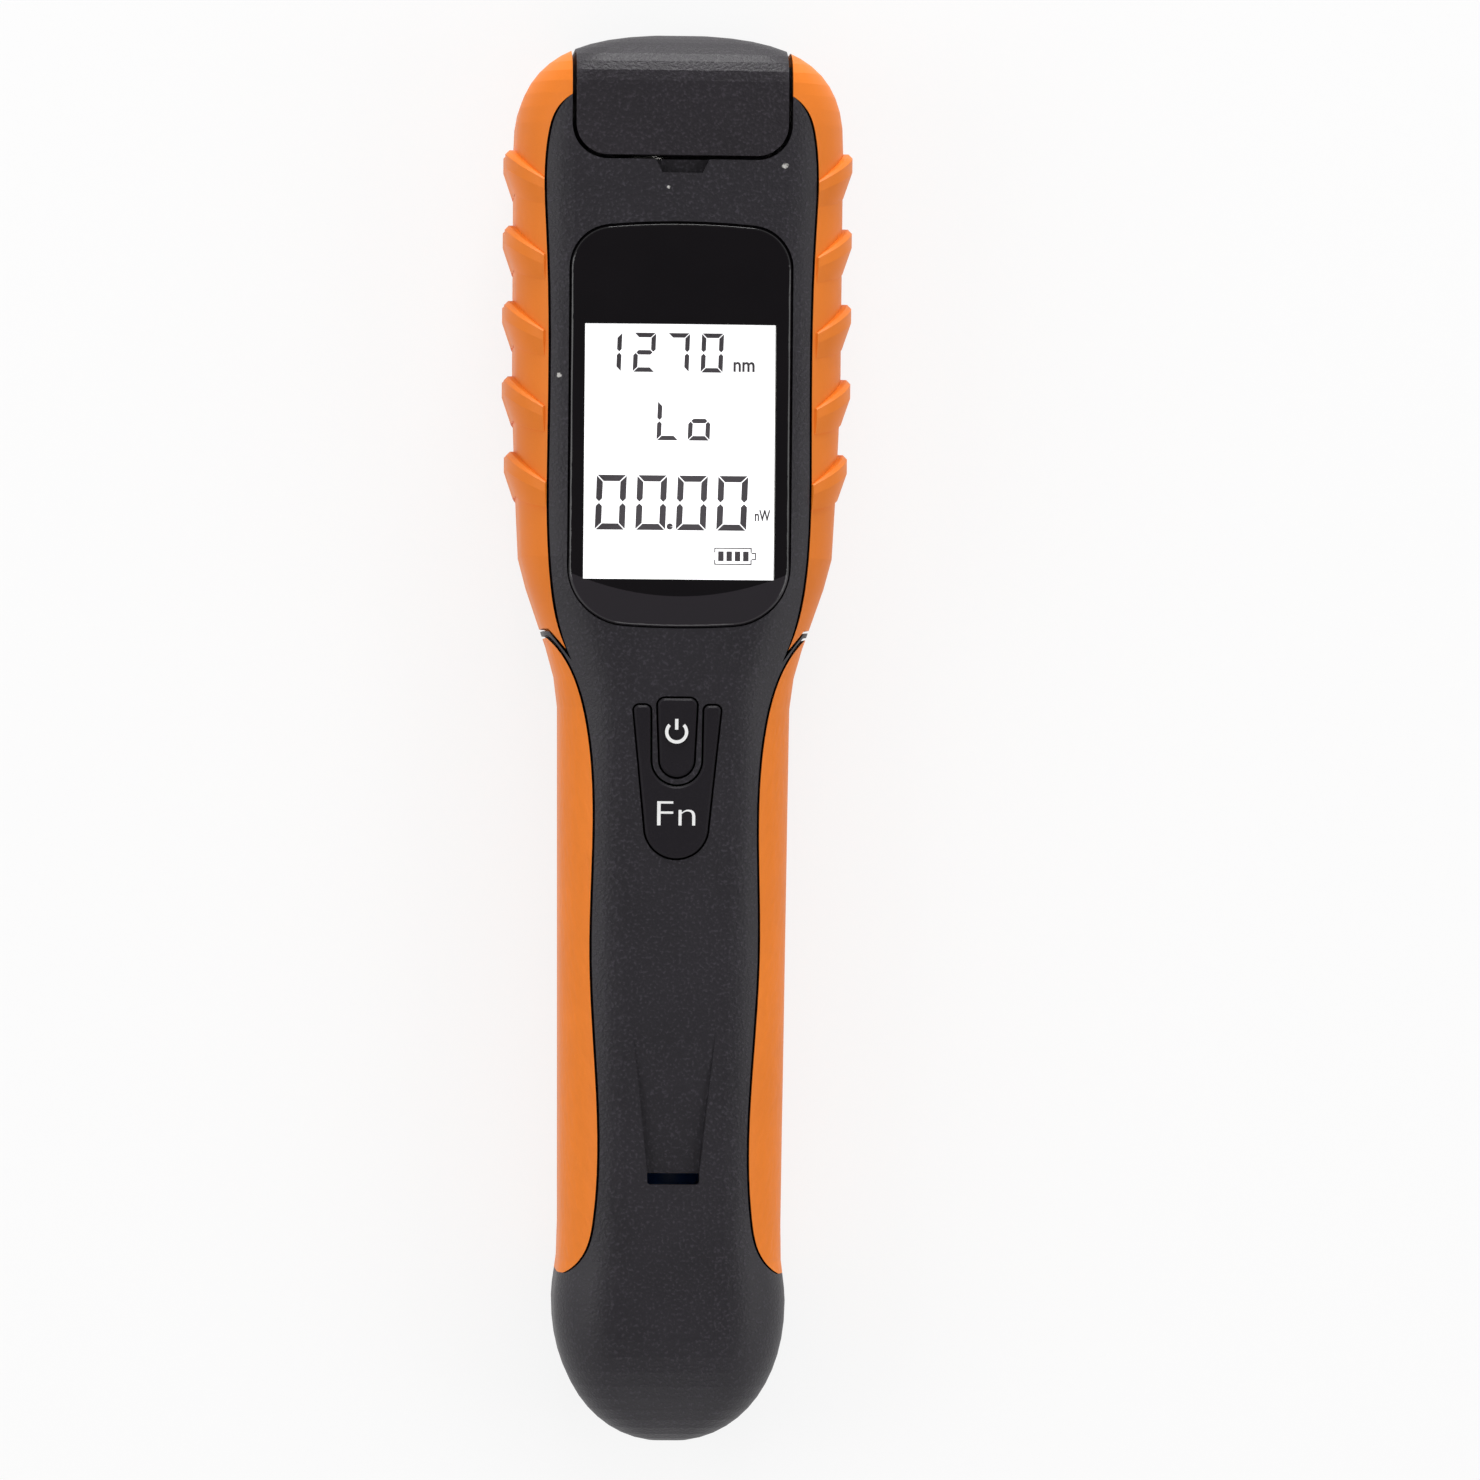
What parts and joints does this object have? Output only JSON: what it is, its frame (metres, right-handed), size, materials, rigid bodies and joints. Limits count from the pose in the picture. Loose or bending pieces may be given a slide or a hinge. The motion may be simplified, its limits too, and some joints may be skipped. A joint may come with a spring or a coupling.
{
  "type": "handheld optical power meter",
  "caption": "Torch-shaped handheld fibre-optic power meter: display window, push keys, ribbed rubber side grips and a hinged flip cap over the optical and charging ports.",
  "frame": {"origin": "middle of the footprint, on the plane that the meter's back rests on", "axes": "+Y along the meter towards the flip cap, +Z out of the display, +X to the right as the display is read"},
  "size_m": [0.0494, 0.2, 0.031],
  "materials": {
    "casing": "fine spark texture, charcoal",
    "grip_rubber": "moulded rubber, orange",
    "plated_brass": "nickel plate",
    "ceramic_sleeve": "ground white ceramic",
    "steel": "plain",
    "black_plastic": "plain",
    "white_plastic": "plain",
    "circuit_board": "solder mask",
    "display_glass": "lit display with dark segments",
    "diffuser": "white diffuser",
    "rubber_black": "plain",
    "lens_black": "gloss, printed black behind, clear over the display",
    "key_plastic": "satin",
    "cell_wrap": "shrink wrap, plain",
    "lead_red": "plain"
  },
  "bodies": {
    "casing": {"front_shell": "casing", "rear_shell": "casing", "upper_grip_left": "grip_rubber", "upper_grip_right": "grip_rubber", "lower_grip_left": "grip_rubber", "lower_grip_right": "grip_rubber", "port_plate": "casing", "optical_adapter": "plated_brass", "adapter_nut": "plated_brass", "ferrule_sleeve": "ceramic_sleeve", "photodiode": "plated_brass", "usb_socket": "steel", "usb_tongue": "black_plastic", "main_board": "circuit_board", "port_board": "circuit_board", "microcontroller": "black_plastic", "amplifier_chip": "black_plastic", "charger_chip": "black_plastic", "battery_connector": "white_plastic", "lcd_frame": "white_plastic", "lcd_panel": "display_glass", "lcd_backlight": "diffuser", "lcd_connector": "rubber_black", "display_lens": "lens_black", "lens_gasket": "rubber_black", "power_switch": "black_plastic", "fn_switch": "black_plastic", "battery_cell": "cell_wrap", "battery_lead_red": "lead_red", "battery_lead_black": "black_plastic", "case_screws": "steel", "board_screws": "steel", "cap_hinge_pin": "steel"},
    "cap": {"flip_cap": "casing", "cap_seal": "rubber_black"},
    "power_key": {"power_key": "key_plastic", "power_switch_plunger": "white_plastic"},
    "function_key": {"fn_key": "key_plastic", "fn_switch_plunger": "white_plastic"}
  },
  "joints": [
    {"name": "cap_hinge", "type": "hinge", "parent": "casing", "child": "cap", "pos_m": [0, 0.0928, 0.007], "axis": [-1, 0, 0], "range_deg": [0, 110]},
    {"name": "power_press", "type": "slide", "parent": "casing", "child": "power_key", "axis": [0, 0, -1], "range_m": [0, 0.0004], "stiffness_N_per_m": 400, "springref_m": -0.004},
    {"name": "fn_press", "type": "slide", "parent": "casing", "child": "function_key", "axis": [0, 0, -1], "range_m": [0, 0.0004], "stiffness_N_per_m": 400, "springref_m": -0.004}
  ]
}
